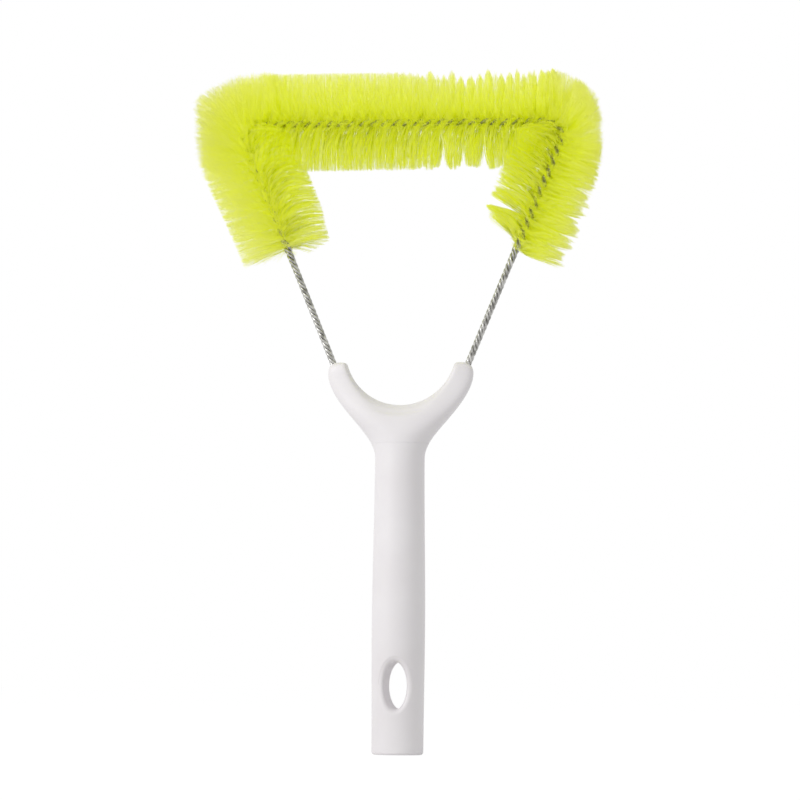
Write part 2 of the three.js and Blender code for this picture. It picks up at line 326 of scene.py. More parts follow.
# Stretches of bristles: a label, where each starts and ends, and the number of pieces it is made in
STRETCHES = [
    ("left_leg", BRISTLE_START, LEFT_MITRE, 3),
    ("top_bar", LEFT_MITRE, RIGHT_MITRE, 8),
    ("right_leg", RIGHT_MITRE, BRISTLE_END, 3),
]
FIRST_BRISTLE_SEED = 11

# Which side of the twist each of the four wires lies on: its layer, and its place across the layer
PAIR_SIDES = [(1, 1), (1, -1), (-1, -1), (-1, 1)]

# Where the worn bristles stand apart: distance along the loop, side (1 inner, -1 outer), gap at the tips
# and how far out it opens (the higher, the nearer to the tips)
PARTINGS = [
    (MIDDLE + 19.0 * MM, 1, 3.8 * MM, 2.2),
    (MIDDLE + 28.7 * MM, 1, 3.0 * MM, 2.2),
    (MIDDLE + 38.5 * MM, 1, 3.8 * MM, 2.6),
    (BRISTLE_END - 15.0 * MM, 1, 5.0 * MM, 1.5),
    (BRISTLE_END - 23.0 * MM, 1, 1.6 * MM, 2.6),
    (MIDDLE + 64.0 * MM, -1, 2.0 * MM, 3.0),
    (RIGHT_MITRE + 5.5 * MM, -1, 1.2 * MM, 4.0),
    (BRISTLE_END - 47.0 * MM, -1, 1.4 * MM, 4.0),
    (BRISTLE_END - 36.0 * MM, -1, 1.4 * MM, 4.0),
    (BRISTLE_END - 22.0 * MM, -1, 1.8 * MM, 4.0),
    (BRISTLE_END - 13.0 * MM, -1, 2.2 * MM, 4.0),
    (BRISTLE_END - 6.0 * MM, -1, 1.6 * MM, 4.0),
]

# Outlines that the two corners are cut to, left to right, as places across and heights
CORNER_OUTLINES = [
    [
        (-94.2 * MM, 268.7 * MM),
        (-98.6 * MM, 309.2 * MM),
        (-78.5 * MM, 317.4 * MM),
        (-61.0 * MM, 320.4 * MM),
    ],
    [
        (77.5 * MM, 321.0 * MM),
        (91.0 * MM, 313.5 * MM),
        (94.5 * MM, 299.5 * MM),
        (94.5 * MM, 286.0 * MM),
        (90.8 * MM, 261.0 * MM),
    ],
]
TOP_TRIM = CORNER_HEIGHT + TRIM_REACH

# The tips stand together in spikes of uneven width
SPIKE_WIDTHS = np.random.default_rng(SPIKE_SEED).uniform(SPIKE_NARROWEST, SPIKE_WIDEST, SPIKE_COUNT)
SPIKE_EDGES = np.cumsum(SPIKE_WIDTHS)


def loop_at(distance):
    """Points on the loop, its direction and the way to its inside, for an array of distances along it."""
    distance = np.asarray(distance, float)
    mirrored = distance > LOOP_LENGTH / 2
    s = np.where(mirrored, LOOP_LENGTH - distance, distance)
    sin, cos = math.sin(LEG_LEAN), math.cos(LEG_LEAN)
    foot_x = -LOOP_FOOT_HALF_SPAN + sin * WIRE_IN_SOCKET
    foot_z = TIP_TOP - cos * WIRE_IN_SOCKET
    centre_x = -LOOP_TOP_HALF_SPAN + BEND_TANGENT
    centre_z = CORNER_HEIGHT - LOOP_BEND_RADIUS
    turn = math.pi + LEG_LEAN - (s - LEG_STRAIGHT) / LOOP_BEND_RADIUS
    on_leg = s <= LEG_STRAIGHT
    on_bend = (s > LEG_STRAIGHT) & (s <= TOP_START)
    where = [on_leg, on_bend]
    bend_x = centre_x + LOOP_BEND_RADIUS * np.cos(turn)
    bend_z = centre_z + LOOP_BEND_RADIUS * np.sin(turn)
    x = np.select(where, [foot_x - sin * s, bend_x], centre_x + s - TOP_START)
    z = np.select(where, [foot_z + cos * s, bend_z], CORNER_HEIGHT)
    along_x = np.select(where, [-sin, np.sin(turn)], 1.0)
    along_z = np.select(where, [cos, -np.cos(turn)], 0.0)
    x = np.where(mirrored, -x, x)
    along_z = np.where(mirrored, -along_z, along_z)
    zero = np.zeros_like(x)
    point = np.stack([x, zero, z], -1)
    along = np.stack([along_x, zero, along_z], -1)
    inward = np.stack([along_z, zero, -along_x], -1)
    return point, along, inward


def smooth(low, high, value):
    """Rises softly from 0 at low to 1 at high."""
    t = np.clip((value - low) / (high - low), 0, 1)
    return t * t * (3 - 2 * t)


def mix(a, b, share):
    """From a, at a share of 0, to b, at a share of 1."""
    return a + (b - a) * share


def linear(code):
    """An sRGB hex colour as linear red, green, blue and alpha."""
    parts = [int(code[i:i + 2], 16) / 255 for i in (1, 3, 5)]
    return [c / 12.92 if c <= 0.04045 else ((c + 0.055) / 1.055) ** 2.4 for c in parts] + [1.0]


def add_node(tree, kind, inputs=None, **settings):
    """Adds a node. An input is a value, or another node's output socket to link from."""
    node = tree.nodes.new(kind)
    for name, value in settings.items():
        setattr(node, name, value)
    for name, value in (inputs or {}).items():
        if isinstance(value, bpy.types.NodeSocket):
            tree.links.new(value, node.inputs[name])
        else:
            node.inputs[name].default_value = value
    return node


def new_material(name):
    """An empty material and its node tree."""
    material = bpy.data.materials.new(name)
    material.use_nodes = True
    tree = material.node_tree
    tree.nodes.clear()
    return material, tree


def moulded_polypropylene():
    # White polypropylene from a satin mould: soft gloss, a fine even grain and faint flow clouds
    material, tree = new_material("moulded_polypropylene")
    place = add_node(tree, "ShaderNodeTexCoord").outputs["Object"]
    clouds = add_node(tree, "ShaderNodeTexNoise", {"Vector": place, "Scale": 1 / (30 * MM), "Detail": 3.0})
    grain = add_node(tree, "ShaderNodeTexNoise", {"Vector": place, "Scale": 1 / (0.7 * MM), "Detail": 2.0})
    tint = add_node(tree, "ShaderNodeValToRGB", {"Fac": clouds.outputs["Fac"]})
    tint.color_ramp.elements[0].position = 0.3
    tint.color_ramp.elements[0].color = linear("#e2dee0")
    tint.color_ramp.elements[1].position = 0.7
    tint.color_ramp.elements[1].color = linear("#e8e5e7")
    gloss = add_node(tree, "ShaderNodeMapRange", {
        "Value": grain.outputs["Fac"], "To Min": 0.36, "To Max": 0.5,
    })
    bump = add_node(tree, "ShaderNodeBump", {
        "Height": grain.outputs["Fac"], "Strength": 0.08, "Distance": 0.05 * MM,
    })
    shader = add_node(tree, "ShaderNodeBsdfPrincipled", {
        "Base Color": tint.outputs["Color"], "Roughness": gloss.outputs["Result"],
        "Normal": bump.outputs["Normal"], "IOR": 1.49,
    })
    add_node(tree, "ShaderNodeOutputMaterial", {"Surface": shader.outputs["BSDF"]})
    return material


def galvanised_wire():
    # Drawn steel wire with a thin zinc coat: bright grey, with duller patches of oxide
    material, tree = new_material("galvanised_wire")
    place = add_node(tree, "ShaderNodeTexCoord").outputs["Object"]
    oxide = add_node(tree, "ShaderNodeTexNoise", {"Vector": place, "Scale": 1 / (2.5 * MM), "Detail": 4.0})
    tint = add_node(tree, "ShaderNodeValToRGB", {"Fac": oxide.outputs["Fac"]})
    tint.color_ramp.elements[0].position = 0.35
    tint.color_ramp.elements[0].color = linear("#8c8b87")
    tint.color_ramp.elements[1].position = 0.65
    tint.color_ramp.elements[1].color = linear("#c6c5c2")
    gloss = add_node(tree, "ShaderNodeMapRange", {
        "Value": oxide.outputs["Fac"], "To Min": 0.42, "To Max": 0.25,
    })
    shader = add_node(tree, "ShaderNodeBsdfPrincipled", {
        "Base Color": tint.outputs["Color"], "Roughness": gloss.outputs["Result"], "Metallic": 1.0,
    })
    add_node(tree, "ShaderNodeOutputMaterial", {"Surface": shader.outputs["BSDF"]})
    return material


def nylon_monofilament():
    # Extruded nylon 0.08 mm thick: glossy and translucent, so light soaks through from fibre to fibre,
    # with a lime emission that is a painted glow, lifting the mass of bristles out of its own shade
    material, tree = new_material("nylon_monofilament")
    tone = add_node(tree, "ShaderNodeAttribute", attribute_name="tone")
    # Base colour by tone, which differs at random and also carries painted shade, painted highlights and
    # painted light at the tips
    tint = add_node(tree, "ShaderNodeValToRGB", {"Fac": tone.outputs["Fac"]})
    tint.color_ramp.elements[0].position = 0.0
    tint.color_ramp.elements[0].color = linear("#b0b814")
    tint.color_ramp.elements[1].position = 0.25
    tint.color_ramp.elements[1].color = linear("#f9fc4e")
    tint.color_ramp.elements.new(1.0).color = linear("#f6f6c0")
    # The painted glow: emission colour by tone, dimmer for the deeper tones
    painted_glow = add_node(tree, "ShaderNodeValToRGB", {"Fac": tone.outputs["Fac"]})
    painted_glow.color_ramp.elements[0].position = 0.0
    painted_glow.color_ramp.elements[0].color = linear("#c0c800")
    painted_glow.color_ramp.elements[1].position = 0.5
    painted_glow.color_ramp.elements[1].color = linear("#e2ec00")
    painted_glow.color_ramp.elements.new(1.0).color = linear("#e2ec00")
    shader = add_node(tree, "ShaderNodeBsdfPrincipled", {
        "Base Color": tint.outputs["Color"], "Roughness": 0.38, "IOR": 1.53,
        "Emission Color": painted_glow.outputs["Color"], "Emission Strength": 0.236,
    })
    glow = add_node(tree, "ShaderNodeBsdfTranslucent", {"Color": tint.outputs["Color"]})
    both = add_node(tree, "ShaderNodeMixShader", {
        0: 0.4, 1: shader.outputs["BSDF"], 2: glow.outputs["BSDF"],
    })
    add_node(tree, "ShaderNodeOutputMaterial", {"Surface": both.outputs["Shader"]})
    return material


def new_object(name, data):
    """An object at the origin, in the scene."""
    piece = bpy.data.objects.new(name, data)
    bpy.context.scene.collection.objects.link(piece)
    return piece


def baked(piece):
    """The piece's mesh with its modifiers applied, on a fresh object of the same name."""
    name = piece.name
    graph = bpy.context.evaluated_depsgraph_get()
    mesh = bpy.data.meshes.new_from_object(piece.evaluated_get(graph))
    bpy.data.objects.remove(piece)
    mesh.name = name
    return new_object(name, mesh)


def combine(piece, tool, operation):
    """Cuts or joins a piece with a tool body, which is then removed."""
    change = piece.modifiers.new(operation.lower(), "BOOLEAN")
    change.operation = operation
    change.solver = "EXACT"
    change.object = tool
    piece = baked(piece)
    bpy.data.objects.remove(tool)
    return piece


def from_bmesh(name, bm):
    """An object from a bmesh, with its doubles merged and its faces pointing outwards."""
    bmesh.ops.remove_doubles(bm, verts=bm.verts, dist=WELD_DISTANCE)
    bmesh.ops.recalc_face_normals(bm, faces=bm.faces)
    mesh = bpy.data.meshes.new(name)
    bm.to_mesh(mesh)
    bm.free()
    return new_object(name, mesh)


def add_ring(bm, sides, spot):
    """A closed ring of edges whose points are placed by spot(angle)."""
    ring = bmesh.ops.create_circle(bm, cap_ends=False, segments=sides, radius=1.0)["verts"]
    for vert in ring:
        vert.co = spot(math.atan2(vert.co.y, vert.co.x))
    return list({edge for vert in ring for edge in vert.link_edges})


def skin_rings(name, sides, spots):
    """A closed skin over rings, each given as a function from angle to point."""
    bm = bmesh.new()
    rings = [add_ring(bm, sides, spot) for spot in spots]
    for low, high in zip(rings, rings[1:]):
        bmesh.ops.bridge_loops(bm, edges=low + high)
    for end in (rings[0], rings[-1]):
        bmesh.ops.edgeloop_fill(bm, edges=end)
    return from_bmesh(name, bm)


def spun(name, profile, steps):
    """A profile of (radius, height) points turned once round the Z axis."""
    bm = bmesh.new()
    verts = [bm.verts.new((radius, 0, height)) for radius, height in profile]
    edges = [bm.edges.new(pair) for pair in zip(verts, verts[1:])]
    bmesh.ops.spin(
        bm, geom=verts + edges, cent=(0, 0, 0), axis=(0, 0, 1),
        angle=2 * math.pi, steps=steps, use_merge=True,
    )
    return from_bmesh(name, bm)


def cylinder(sides, radius, length):
    """A bmesh of a closed cylinder along Z, with its middle at the origin."""
    bm = bmesh.new()
    bmesh.ops.create_cone(
        bm, cap_ends=True, segments=sides, radius1=radius, radius2=radius, depth=length,
    )
    return bm


def soften(piece, angle):
    """Smooth shading, with edges sharper than the angle kept crisp."""
    mesh = piece.data
    mesh.polygons.foreach_set("use_smooth", [True] * len(mesh.polygons))
    mesh.set_sharp_from_angle(angle=angle)


def barrel_radius(z):
    """The radius of the grip at a height, from its end over its belly to its neck."""
    lower = mix(GRIP_END_RADIUS, GRIP_BELLY_RADIUS, smooth(0, GRIP_BELLY_HEIGHT, z))
    upper = mix(GRIP_BELLY_RADIUS, GRIP_NECK_RADIUS, smooth(GRIP_BELLY_HEIGHT, NECK_HEIGHT, z))
    return float(lower if z < GRIP_BELLY_HEIGHT else upper)


def flank_point(t):
    """A point of the flank that spreads from the grip's neck to a yoke tip: half width and height."""
    weights = [(1 - t) ** 3, 3 * (1 - t) ** 2 * t, 3 * (1 - t) * t * t, t ** 3]
    widths = [GRIP_NECK_RADIUS, GRIP_NECK_RADIUS, YOKE_HALF_SPAN, YOKE_HALF_SPAN]
    heights = [NECK_HEIGHT, NECK_HEIGHT + FLANK_LOW_REACH, TIP_SHOULDER - FLANK_HIGH_REACH, TIP_SHOULDER]
    return sum(w * x for w, x in zip(weights, widths)), sum(w * z for w, z in zip(weights, heights))


def flank_width(z):
    """Half the width between the flanks at a height, found by halving."""
    low, high = 0.0, 1.0
    for _ in range(FLANK_HALVINGS):
        middle = (low + high) / 2
        if flank_point(middle)[1] < z:
            low = middle
        else:
            high = middle
    return flank_point(low)[0]


def half_depth(z):
    """Half the depth of the yoke at a height: it thins from the seam to its tips."""
    return mix(GRIP_NECK_RADIUS, YOKE_TIP_HALF_DEPTH, float(smooth(GRIP_LENGTH, TIP_SHOULDER, z)))


def corner_power(z):
    """How full the corners of the yoke are at a height: it is round at the seam."""
    return mix(ROUND_POWER, YOKE_TIP_POWER, float(smooth(GRIP_LENGTH, GRIP_LENGTH + CROTCH_HEIGHT, z)))


def oval(width, depth, z, power):
    """A level ring whose corners fill out as its power grows."""
    def spot(angle):
        c, s = math.cos(angle), math.sin(angle)
        x = width * math.copysign(abs(c) ** (2 / power), c)
        y = depth * math.copysign(abs(s) ** (2 / power), s)
        return Vector((x, y, z))
    return spot


def hole_mouth(side):
    """Rings of the hang hole from its throat to its rounded rim, on the front (-1) or the back (1)."""
    def ring(turn, outside):
        spread = HOLE_RIM_RADIUS * (1 - math.cos(turn))
        depth = HOLE_RIM_RADIUS * (1 - math.sin(turn))

        def spot(angle):
            x = (HOLE_HALF_WIDTH + spread) * math.cos(angle)
            z = HOLE_HEIGHT + (HOLE_HALF_LENGTH + spread) * math.sin(angle)
            radius = barrel_radius(HOLE_HEIGHT)
            y = 2 * radius if outside else math.sqrt(radius ** 2 - x ** 2) - depth
            return Vector((x, side * y, z))
        return spot
    turns = [HOLE_RIM_TURN * i / HOLE_RIM_STEPS for i in range(HOLE_RIM_STEPS + 1)]
    return [ring(turn, False) for turn in turns] + [ring(HOLE_RIM_TURN, True)]


def make_grip():
    """The hollow barrel, whose top follows the flanks of the yoke, with its hang hole."""
    profile = [(0.0, 0.0)]
    for i in range(GRIP_EDGE_STEPS + 1):
        turn = math.pi / 2 * i / GRIP_EDGE_STEPS
        z = GRIP_EDGE_RADIUS * (1 - math.cos(turn))
        profile.append((barrel_radius(z) - GRIP_EDGE_RADIUS * (1 - math.sin(turn)), z))
    top = GRIP_LENGTH - SEAM_GAP / 2
    for i in range(1, GRIP_ROWS + 1):
        z = mix(GRIP_EDGE_RADIUS, top, i / GRIP_ROWS)
        profile.append((barrel_radius(z), z))
    floor = GRIP_LENGTH - GRIP_BORE_DEPTH
    profile += [(GRIP_BORE_RADIUS, top), (GRIP_BORE_RADIUS, floor), (0.0, floor)]
    grip = spun("grip_moulding", profile, GRIP_SIDES)
    wall_middle = (GRIP_BORE_RADIUS + GRIP_NECK_RADIUS) / 2
    for vert in grip.data.vertices:
        x, y, z = vert.co
        if z > NECK_HEIGHT and math.hypot(x, y) > wall_middle:
            vert.co.x = x * flank_width(z) / GRIP_NECK_RADIUS
    cutter = skin_rings("hole_cutter", HOLE_SIDES, list(reversed(hole_mouth(1))) + hole_mouth(-1))
    grip = combine(grip, cutter, "DIFFERENCE")
    soften(grip, GRIP_CREASE)
    return grip


def crotch_cutter():
    """The body that cuts the round gap between the yoke's tips, with rounded edges."""
    centre = GRIP_LENGTH + CROTCH_HEIGHT + CROTCH_RADIUS
    waist = half_depth(GRIP_LENGTH + CROTCH_HEIGHT)
    outside = 2 * GRIP_BELLY_RADIUS
    wide = CROTCH_RADIUS + CROTCH_ROUNDING
    profile = [(0.0, -outside), (wide, -outside)]
    for i in range(-CROTCH_STEPS, CROTCH_STEPS + 1):
        turn = math.pi / 2 * i / CROTCH_STEPS
        profile.append((CROTCH_RADIUS + CROTCH_ROUNDING * (1 - math.cos(turn)), waist * math.sin(turn)))
    profile += [(wide, outside), (0.0, outside)]
    cutter = spun("crotch_cutter", profile, CROTCH_SIDES)
    cutter.data.transform(Matrix.Translation((0, 0, centre)) @ Matrix.Rotation(math.pi / 2, 4, "X"))
    return cutter


def socket_cutter(side):
    """The body that drills a blind socket for the wires into a tip, on the left (-1) or right (1)."""
    radius = WIRE_RADIUS * (1 + math.sqrt(2)) + SOCKET_CLEARANCE / 2
    bm = cylinder(SOCKET_SIDES, radius, 2 * SOCKET_DEPTH)
    place = Matrix.Translation((side * LOOP_FOOT_HALF_SPAN, 0, TIP_TOP))
    bmesh.ops.transform(bm, matrix=place @ Matrix.Rotation(side * LEG_LEAN, 4, "Y"), verts=bm.verts)
    return from_bmesh("socket_cutter", bm)


def yoke_body():
    """The fork without its gap: rings from the neck up to the shoulder, and a rounded top."""
    rings = []
    for z in np.linspace(NECK_HEIGHT, TIP_SHOULDER, YOKE_ROWS):
        rings.append(oval(flank_width(z), half_depth(z), z, corner_power(z)))
    for i in range(1, YOKE_TIP_STEPS + 1):
        turn = math.pi / 2 * i / YOKE_TIP_STEPS
        width = YOKE_HALF_SPAN - YOKE_TIP_ROUND_WIDTH * (1 - math.cos(turn))
        depth = YOKE_TIP_HALF_DEPTH - YOKE_TIP_ROUND_WIDTH / 2 * (1 - math.cos(turn))
        height = TIP_SHOULDER + YOKE_TIP_ROUND_HEIGHT * math.sin(turn)
        rings.append(oval(width, depth, height, YOKE_TIP_POWER))
    return skin_rings("yoke_moulding", YOKE_SIDES, rings)


def rounded(yoke):
    """Melts the edges that the gap's cutter left, as a mould's are rounded."""
    remesh = yoke.modifiers.new("remesh", "REMESH")
    remesh.mode = "VOXEL"
    remesh.voxel_size = YOKE_VOXEL
    relax = yoke.modifiers.new("relax", "SMOOTH")
    relax.factor = YOKE_RELAX_SHARE
    relax.iterations = YOKE_RELAX_ROUNDS
    return baked(yoke)


def cut_at_seam(yoke):
    """Takes off what lies below the seam with the grip, and closes the cut."""
    bm = bmesh.new()
    bm.from_mesh(yoke.data)
    seam = Vector((0, 0, GRIP_LENGTH + SEAM_GAP / 2))
    whole = bm.verts[:] + bm.edges[:] + bm.faces[:]
    cut = bmesh.ops.bisect_plane(bm, geom=whole, plane_co=seam, plane_no=(0, 0, 1), clear_inner=True)
    rim = [item for item in cut["geom_cut"] if isinstance(item, bmesh.types.BMEdge)]
    bmesh.ops.edgeloop_fill(bm, edges=rim)
    bm.to_mesh(yoke.data)
    bm.free()


def make_spigot():
    """The peg below the yoke that goes into the grip's bore."""
    bm = cylinder(SPIGOT_SIDES, GRIP_BORE_RADIUS - SPIGOT_CLEARANCE, SPIGOT_LENGTH)
    middle = GRIP_LENGTH + SPIGOT_OVERLAP - SPIGOT_LENGTH / 2
    bmesh.ops.translate(bm, verts=bm.verts, vec=(0, 0, middle))
    return from_bmesh("spigot", bm)


def make_yoke():
    """The fork above the grip, with its spigot and the sockets that hold the wires."""
    yoke = rounded(combine(yoke_body(), crotch_cutter(), "DIFFERENCE"))
    cut_at_seam(yoke)
    yoke = combine(yoke, make_spigot(), "UNION")
    for side in (-1, 1):
        yoke = combine(yoke, socket_cutter(side), "DIFFERENCE")
    soften(yoke, YOKE_CREASE)
    return yoke


def wire_centre(distance, layer_side, across_side):
    """The middle of one wire: two pairs side by side, which part where filaments lie between them."""
    point, along, inward = loop_at(distance)
    turn = (-2 * math.pi * distance / TWIST_PITCH)[:, None]
    layer = inward * np.cos(turn) + BACK * np.sin(turn)
    across = np.cross(along, layer)
    rise = smooth(BRISTLE_START - TWIST_PITCH, BRISTLE_START, distance)
    fall = smooth(BRISTLE_END, BRISTLE_END + TWIST_PITCH, distance)
    spread = (SLOT_HALF_WIDTH * rise * (1 - fall))[:, None]
    return point + layer * layer_side * WIRE_RADIUS + across * across_side * (WIRE_RADIUS + spread)


def tubes(name, lines, radii, sides):
    """A mesh of thin round lines, given as arrays of points and of the radius at each point."""
    ring = bpy.data.curves.new("section", "CURVE")
    outline = ring.splines.new("POLY")
    outline.points.add(sides - 1)
    for number, spot in enumerate(outline.points):
        turn = -2 * math.pi * number / sides
        spot.co = (math.cos(turn), math.sin(turn), 0, 1)
    outline.use_cyclic_u = True
    section = new_object("section", ring)
    curve = bpy.data.curves.new(name, "CURVE")
    curve.dimensions = "3D"
    curve.bevel_mode = "OBJECT"
    curve.bevel_object = section
    curve.use_fill_caps = True
    for line, radius in zip(lines, radii):
        spline = curve.splines.new("POLY")
        spline.points.add(len(line) - 1)
        spline.points.foreach_set("co", np.column_stack([line, np.ones(len(line))]).ravel())
        spline.points.foreach_set("radius", radius)
    piece = baked(new_object(name, curve))
    bpy.data.objects.remove(section)
    return piece


def make_wire(number, layer_side, across_side):
    """One wire of the twisted loop, from socket to socket."""
    steps = int(LOOP_LENGTH / TWIST_PITCH * WIRE_STEPS_PER_TURN)
    distance = np.linspace(0, LOOP_LENGTH, steps)
    line = wire_centre(distance, layer_side, across_side)
    wire = tubes(f"zinc_wire_{number}", [line], [np.full(steps, WIRE_RADIUS)], WIRE_SIDES)
    soften(wire, WIRE_CREASE)
    return wire


def trim_planes():
    """Planes that the bristles are cut back to: an outward normal and its distance."""
    planes = [(np.array((0.0, 0.0, 1.0)), TOP_TRIM)]
    for outline in CORNER_OUTLINES:
        for (x, z), (next_x, next_z) in zip(outline, outline[1:]):
            normal = np.array((z - next_z, 0.0, next_x - x)) / math.hypot(next_x - x, next_z - z)
            planes.append((normal, normal[0] * x + normal[2] * z))
    return planes


def in_bend(root):
    """Whether roots lie in one of the two crowded bends."""
    from_end = np.minimum(root, LOOP_LENGTH - root)
    return (from_end > LEG_STRAIGHT - CROWDED_LEG) & (from_end < TOP_START + CROWDED_TOP)


def side_share(cosine):
    """How far a filament belongs to the side that the cosine of its angle points to, from 0 to 1."""
    return smooth(*SIDE_RANGE, cosine)


def zones_at(root):
    """How far roots are from an end of the loop, and how much of each zone they are in, from 0 to 1."""
    from_end = np.minimum(root, LOOP_LENGTH - root)
    rise = smooth(LEG_STRAIGHT - CORNER_RISE, LEG_STRAIGHT, from_end)
    fall = smooth(TOP_START - CORNER_FALL_BEFORE, TOP_START + CORNER_FALL_AFTER, from_end)
    left = 1 - smooth(LEFT_MITRE, LEFT_MITRE + LEFT_FADE, root)
    left_end = 1 - smooth(BRISTLE_START, BRISTLE_START + LEFT_END_LENGTH, root)
    return SimpleNamespace(
        from_end=from_end,
        left=left,
        left_end=left_end,
        left_sweep=left * (1 - left_end),
        left_leg_height=smooth(BRISTLE_START, LEG_STRAIGHT, root),
        corner=rise * (1 - fall),
        top=smooth(LEG_STRAIGHT, TOP_START, from_end),
        right=smooth(MIDDLE - RIGHT_FADE, MIDDLE + RIGHT_FADE, root),
        right_leg=smooth(RIGHT_MITRE + RIGHT_LEG_SOUND_LENGTH, BRISTLE_END, root),
        right_leg_full=smooth(0, RIGHT_LEG_FILLING, root - RIGHT_MITRE),
        right_end=smooth(BRISTLE_END - RIGHT_END_LENGTH, BRISTLE_END, root),
    )


def first_angles(rng, root, zone):
    """Which way filaments point: all round, a little flattened, and more of them outwards in the bends."""
    count = len(root)
    spread = 2 * math.pi * (np.arange(count) * GOLDEN_TURN + rng.uniform(0, TURN_JITTER, count))
    crowded = in_bend(root + rng.normal(0, CROWDING_FADE, count))
    in_fan = crowded & (rng.uniform(0, 1, count) < FAN_SHARE)
    fanned = math.pi + FAN_NARROWING * ((spread + math.pi) % (2 * math.pi) - math.pi)
    spread = np.where(in_fan, fanned, spread)
    flattening = mix(FLATTENING, LEFT_FLATTENING, zone.left)
    flattening = mix(flattening, RIGHT_CORNER_FLATTENING, zone.corner * zone.right)
    return (spread - flattening * np.sin(2 * spread)) % (2 * math.pi)


def strands_at(root, angle):
    """What the filaments of a strand share, each from -1 to 1: their lean, turn, tone and splay."""
    habits = np.random.default_rng(STRAND_SEED).uniform(-1, 1, (4, STRAND_PLACES, STRAND_TURNS))
    cell = (root / STRAND_WIDTH).astype(int) % STRAND_PLACES, (angle / STRAND_TURN).astype(int)
    lean, turn, tone, splay = (habit[cell] for habit in habits)
    return SimpleNamespace(lean=lean, turn=turn, tone=tone, splay=splay)


def cling_at(angle, zone):
    """How closely filaments keep to the middle of their strand: not at all on the outer side."""
    facing_in = side_share(np.cos(angle))
    facing_out = side_share(-np.cos(angle))
    upright = smooth(*UPRIGHT_RANGE, np.abs(np.sin(angle)))
    return mix(LEFT_CLING, CLING, zone.right) * np.maximum(facing_in, upright * (1 - facing_out))


def lay_out(rng, root):
    """The filaments at some root distances along the loop: where they start and which way they point."""
    count = len(root)
    zone = zones_at(root)
    angle = first_angles(rng, root, zone)
    strand = strands_at(root, angle)

    facing_in = side_share(np.cos(angle))
    cling = cling_at(angle, zone)
    off_strand = (root / STRAND_WIDTH % 1 - 0.5) * STRAND_WIDTH * cling
    off_turn = (angle / STRAND_TURN % 1 - 0.5) * STRAND_TURN * cling
    angle = angle + STRAND_SWING * strand.turn - off_turn

    # In the bends the strands splay, and on the outer left rather each filament by itself
    loose = zone.left * (1 - facing_in)
    splay = mix(STRAND_SPLAY, LOOSE_STRAND_SPLAY, loose) * strand.splay
    splay += mix(FILAMENT_SPLAY, LOOSE_FILAMENT_SPLAY, loose) * rng.normal(0, 1, count)
    along, inward = loop_at(root + splay)[1:]

    # They leave the twist in the nearer of its two rows, mostly
    slot = -2 * math.pi * root / TWIST_PITCH
    from_slot = (angle - slot) / math.pi
    off_row = math.pi * (from_slot - np.round(from_slot + rng.normal(0, ROW_BLUR, count)))
    helix = angle - off_row + STRAND_JITTER * strand.splay + rng.normal(0, ROW_JITTER, count)
    row_middle = root - off_row * TWIST_PITCH / (2 * math.pi)

    # Near the twist they lie slantwise, and those on the left leg arch up along it
    inner = np.cos(angle)
    inside = side_share(inner)
    outside = side_share(-inner)
    lay = LAY * (1 + LAY_VARIATION * strand.lean) * (outside - inside) * (1 - zone.left)
    return SimpleNamespace(
        count=count,
        root=root,
        zone=zone,
        strand=strand,
        off_strand=off_strand,
        row_middle=row_middle,
        row=np.round(2 * row_middle / TWIST_PITCH).astype(int),
        row_habits=np.random.default_rng(ROW_SEED).uniform(0, 1, (3, ROW_PLACES)),
        point=loop_at(root)[0],
        along=along,
        inward=inward,
        angle=angle,
        helix=helix,
        inner=inner,
        inside=inside,
        outside=outside,
        way=inward * inner[:, None] + BACK * np.sin(angle)[:, None],
        lay=lay,
        arch=LEFT_ARCH * zone.left_sweep * inside,
    )


def first_leans(rng, hair):
    """How far along the loop the tips lean."""
    zone, inside, outside = hair.zone, hair.inside, hair.outside
    row_gather, row_lean = hair.row_habits[:2, hair.row]
    upper = outside * zone.top

    # Rows gather to clumps at their tips, more on the inner side and on the right, which saw more use
    gather = GATHER + inside * mix(LEFT_INNER_GATHER, RIGHT_INNER_GATHER, zone.right)
    gather = (hair.row_middle - hair.root) * gather * (ROW_GATHER_LEAST + ROW_GATHER_RANGE * row_gather)
    lean = gather * rng.uniform(0, FILAMENT_GATHER_MOST, hair.count)
    lean += inside * (row_lean - 0.5) * mix(LEFT_ROW_LEAN, RIGHT_ROW_LEAN, zone.right)

    # By chance strands lean, less on the upper side of the bar, and single filaments lean, more there
    top_lean = mix(TOP_LEFT_STRAND_LEAN, TOP_RIGHT_STRAND_LEAN, zone.right)
    lean += hair.strand.lean * mix(STRAND_LEAN, top_lean, upper)
    lean += rng.normal(0, mix(FILAMENT_LEAN, TOP_FILAMENT_LEAN, upper), hair.count)

    # The left leg is swept upwards but droops at its end, and the right leg is lifted towards its end
    lean += zone.left_sweep * smooth(*FRONT_RANGE, -np.sin(hair.angle)) * FRONT_SWEEP
    lean += zone.left_sweep * (1 - zone.top) * outside * OUTER_SWEEP
    lean -= inside * (zone.right_leg * RIGHT_LEG_LIFT + zone.right_end * RIGHT_END_INNER_LIFT)
    lean -= outside * zone.right_end * RIGHT_END_OUTER_LIFT
    lean -= inside * zone.left_end * LEFT_END_DROOP
    lean = np.maximum(lean, BRISTLE_START - LEFT_END_DROOP - hair.root)

    # In the corners the bar's own bristles keep those of the legs below its core
    climb = hair.along[:, 2]
    height = hair.point[:, 2] + climb * (lean + hair.lay) + BRISTLE_RADIUS * hair.way[:, 2]
    over = np.maximum(height - CORNER_HEIGHT + BAR_CLEARANCE, 0) * inside * (zone.from_end < TOP_START)
    return lean - over * np.sign(climb) / np.maximum(np.abs(climb), LEAST_STEEPNESS)


